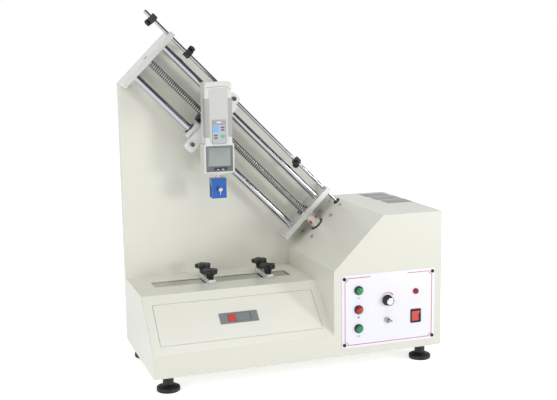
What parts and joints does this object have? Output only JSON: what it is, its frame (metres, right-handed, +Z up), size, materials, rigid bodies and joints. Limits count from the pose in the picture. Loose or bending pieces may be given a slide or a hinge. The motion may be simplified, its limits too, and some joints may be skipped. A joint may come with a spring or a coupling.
{
  "type": "peel testing machine",
  "caption": "Bench peel tester: screw-driven carriage on a sloping slide carries a force gauge and grip over a clamping stage, with a control cabinet beside it.",
  "frame": {"origin": "on the floor under the middle of the machine", "axes": "+X to the machine's right seen from the front, +Y to its back, +Z up"},
  "size_m": [0.6501, 0.3194, 0.7812],
  "materials": {
    "cream_paint": "fine powder coat",
    "control_white": "satin",
    "machined_aluminium": "satin machined",
    "hard_chrome": "polished",
    "screw_steel": "ground",
    "zinc_steel": "zinc plated",
    "black_steel": "satin",
    "black_plastic": "satin",
    "gauge_white": "moulded",
    "grey_grip": "matt",
    "screen_grey": "smooth",
    "keypad_lilac": "satin",
    "anodised_blue": "anodised",
    "coupling_red": "satin",
    "button_green": "glossy",
    "button_red": "glossy",
    "lamp_red": "clear, glossy",
    "latch_grey": "satin",
    "motor_grey": "satin",
    "switch_grey": "satin",
    "board_green": "satin"
  },
  "bodies": {
    "frame": {"base_housing": "cream_paint", "control_cabinet": "cream_paint", "tall_panel": "cream_paint", "service_covers": "cream_paint", "stage_plate": "zinc_steel", "control_plate": "control_white", "fixing_screws": "zinc_steel", "end_plates": "machined_aluminium", "guide_rods": "hard_chrome", "screw_bearings": "zinc_steel", "gear_motor": "motor_grey", "limit_switches": "switch_grey", "panel_switches": "black_plastic", "indicator_lamp": "lamp_red", "electronics": "board_green", "mains_inlet": "black_plastic"},
    "lead_screw": {"lead_screw": "screw_steel", "coupling_hubs": "machined_aluminium", "coupling_spider": "coupling_red"},
    "carriage": {"bearing_blocks": "machined_aluminium", "linear_bushings": "black_steel", "screw_nut": "black_steel", "carriage_plate": "machined_aluminium", "carriage_screws": "zinc_steel", "gauge_front_shell": "gauge_white", "gauge_rear_shell": "gauge_white", "gauge_grip_pads": "grey_grip", "gauge_screen": "screen_grey", "gauge_keypad": "keypad_lilac", "gauge_shaft": "zinc_steel", "grip_body": "anodised_blue"},
    "grip_jaw": {"grip_jaw": "zinc_steel"},
    "grip_screw": {"grip_screw": "zinc_steel"},
    "stop_rod": {"stop_rod": "hard_chrome"},
    "door": {"door": "cream_paint", "latch_housing": "latch_grey"},
    "latch_button": {"latch_button": "button_red"},
    "latch_lever": {"latch_lever": "latch_grey"},
    "speed_knob": {"speed_knob": "black_plastic"},
    "toggle_lever": {"toggle_lever": "hard_chrome"},
    "rocker": {"rocker": "button_red"},
    "stop_collar_1": {"stop_collar_1": "black_steel"},
    "collar_screw_1": {"collar_screw_1": "black_plastic"},
    "stop_collar_2": {"stop_collar_2": "black_steel"},
    "collar_screw_2": {"collar_screw_2": "black_plastic"},
    "stop_collar_3": {"stop_collar_3": "black_steel"},
    "collar_screw_3": {"collar_screw_3": "black_plastic"},
    "clamp_bar_left": {"clamp_bar_left": "machined_aluminium"},
    "star_knob_left_front": {"star_knob_left_front": "black_plastic"},
    "star_knob_left_back": {"star_knob_left_back": "black_plastic"},
    "clamp_bar_right": {"clamp_bar_right": "machined_aluminium"},
    "star_knob_right_front": {"star_knob_right_front": "black_plastic"},
    "star_knob_right_back": {"star_knob_right_back": "black_plastic"},
    "up_button": {"up_button": "button_green"},
    "stop_button": {"stop_button": "button_red"},
    "down_button": {"down_button": "button_green"},
    "foot_front_left": {"foot_front_left": "black_plastic"},
    "foot_front_right": {"foot_front_right": "black_plastic"},
    "foot_back_left": {"foot_back_left": "black_plastic"},
    "foot_back_right": {"foot_back_right": "black_plastic"}
  },
  "joints": [
    {"name": "carriage_travel", "type": "slide", "parent": "frame", "child": "carriage", "axis": [0.7071, 0, -0.7071], "range_m": [-0.1045, 0.184]},
    {"name": "screw_spin", "type": "hinge", "parent": "frame", "child": "lead_screw", "pos_m": [0.09212, 0.10175, 0.31593], "axis": [0.7071, 0, -0.7071], "continuous": true},
    {"name": "stop_rod_travel", "type": "slide", "parent": "frame", "child": "stop_rod", "axis": [0.7071, 0, -0.7071], "range_m": [-0.003, 0.003], "stiffness_N_per_m": 3000, "springref_m": -0.0009},
    {"name": "collar_1_slide", "type": "slide", "parent": "stop_rod", "child": "stop_collar_1", "axis": [0.7071, 0, -0.7071], "range_m": [-0.012, 0.034]},
    {"name": "collar_1_screw_turn", "type": "hinge", "parent": "stop_collar_1", "child": "collar_screw_1", "pos_m": [-0.25154, 0.10175, 0.76141], "axis": [-0.5721, 0.5878, -0.5721], "range_deg": [0, 360]},
    {"name": "collar_2_slide", "type": "slide", "parent": "stop_rod", "child": "stop_collar_2", "axis": [0.7071, 0, -0.7071], "range_m": [-0.036, 0]},
    {"name": "collar_2_screw_turn", "type": "hinge", "parent": "stop_collar_2", "child": "collar_screw_2", "pos_m": [-0.17517, 0.10175, 0.68504], "axis": [0.6797, 0.2756, 0.6797], "range_deg": [0, 360]},
    {"name": "collar_3_slide", "type": "slide", "parent": "stop_rod", "child": "stop_collar_3", "axis": [0.7071, 0, -0.7071], "range_m": [0, 0.078]},
    {"name": "collar_3_screw_turn", "type": "hinge", "parent": "stop_collar_3", "child": "collar_screw_3", "pos_m": [0.07657, 0.10175, 0.43331], "axis": [-0.4056, -0.8192, -0.4056], "range_deg": [0, 360]},
    {"name": "clamp_lift_left", "type": "slide", "parent": "frame", "child": "clamp_bar_left", "axis": [0, 0, 1], "range_m": [0, 0.005]},
    {"name": "knob_turn_left_front", "type": "hinge", "parent": "clamp_bar_left", "child": "star_knob_left_front", "pos_m": [-0.158, 0.02425, 0.193], "axis": [0, 0, 1], "range_deg": [0, 1440]},
    {"name": "knob_turn_left_back", "type": "hinge", "parent": "clamp_bar_left", "child": "star_knob_left_back", "pos_m": [-0.158, 0.08425, 0.193], "axis": [0, 0, 1], "range_deg": [0, 1440]},
    {"name": "clamp_lift_right", "type": "slide", "parent": "frame", "child": "clamp_bar_right", "axis": [0, 0, 1], "range_m": [0, 0.005]},
    {"name": "knob_turn_right_front", "type": "hinge", "parent": "clamp_bar_right", "child": "star_knob_right_front", "pos_m": [-0.0235, 0.02425, 0.193], "axis": [0, 0, 1], "range_deg": [0, 1440]},
    {"name": "knob_turn_right_back", "type": "hinge", "parent": "clamp_bar_right", "child": "star_knob_right_back", "pos_m": [-0.0235, 0.08425, 0.193], "axis": [0, 0, 1], "range_deg": [0, 1440]},
    {"name": "door_swing", "type": "hinge", "parent": "frame", "child": "door", "pos_m": [-0.128, -0.12502, 0.09871], "axis": [1, 0, 0], "range_deg": [0, 100]},
    {"name": "latch_button_press", "type": "slide", "parent": "door", "child": "latch_button", "axis": [0, 0.6754, -0.7374], "range_m": [0, 0.0025], "stiffness_N_per_m": 400, "springref_m": -0.0015},
    {"name": "latch_lever_swing", "type": "hinge", "parent": "door", "child": "latch_lever", "pos_m": [-0.1039, -0.09133, 0.13269], "axis": [0, 0.7374, 0.6754], "range_deg": [0, 35]},
    {"name": "up_button_press", "type": "slide", "parent": "frame", "child": "up_button", "axis": [0, 1, 0], "range_m": [0, 0.003], "stiffness_N_per_m": 400, "springref_m": -0.002},
    {"name": "stop_button_press", "type": "slide", "parent": "frame", "child": "stop_button", "axis": [0, 1, 0], "range_m": [0, 0.003], "stiffness_N_per_m": 400, "springref_m": -0.002},
    {"name": "down_button_press", "type": "slide", "parent": "frame", "child": "down_button", "axis": [0, 1, 0], "range_m": [0, 0.003], "stiffness_N_per_m": 400, "springref_m": -0.002},
    {"name": "speed_knob_turn", "type": "hinge", "parent": "frame", "child": "speed_knob", "pos_m": [0.193, -0.14475, 0.151], "axis": [0, 1, 0], "range_deg": [-135, 135]},
    {"name": "toggle_throw", "type": "hinge", "parent": "frame", "child": "toggle_lever", "pos_m": [0.193, -0.14675, 0.106], "axis": [0, 0, 1], "range_deg": [-50, 0]},
    {"name": "rocker_rock", "type": "hinge", "parent": "frame", "child": "rocker", "pos_m": [0.2615, -0.14275, 0.109], "axis": [1, 0, 0], "range_deg": [-16, 0]},
    {"name": "jaw_close", "type": "slide", "parent": "carriage", "child": "grip_jaw", "axis": [0, 1, 0], "range_m": [0, 0.0045]},
    {"name": "grip_screw_turn", "type": "hinge", "parent": "grip_jaw", "child": "grip_screw", "pos_m": [-0.127, 0.04175, 0.389], "axis": [0, 1, 0], "range_deg": [0, 2025]},
    {"name": "foot_front_left_turn", "type": "hinge", "parent": "frame", "child": "foot_front_left", "pos_m": [-0.289, -0.11225, 0.036], "axis": [0, 0, 1], "range_deg": [-720, 720]},
    {"name": "foot_front_right_turn", "type": "hinge", "parent": "frame", "child": "foot_front_right", "pos_m": [0.289, -0.11225, 0.036], "axis": [0, 0, 1], "range_deg": [-720, 720]},
    {"name": "foot_back_left_turn", "type": "hinge", "parent": "frame", "child": "foot_back_left", "pos_m": [-0.289, 0.12575, 0.036], "axis": [0, 0, 1], "range_deg": [-720, 720]},
    {"name": "foot_back_right_turn", "type": "hinge", "parent": "frame", "child": "foot_back_right", "pos_m": [0.289, 0.12575, 0.036], "axis": [0, 0, 1], "range_deg": [-720, 720]}
  ],
  "couplings": [
    {"joint": "screw_spin", "follows": "carriage_travel", "rad_per_m": -1256.6},
    {"joint": "knob_turn_left_front", "follows": "clamp_lift_left", "rad_per_m": 5026.5},
    {"joint": "knob_turn_left_back", "follows": "clamp_lift_left", "rad_per_m": 5026.5},
    {"joint": "knob_turn_right_front", "follows": "clamp_lift_right", "rad_per_m": 5026.5},
    {"joint": "knob_turn_right_back", "follows": "clamp_lift_right", "rad_per_m": 5026.5},
    {"joint": "grip_screw_turn", "follows": "jaw_close", "rad_per_m": 7854}
  ]
}
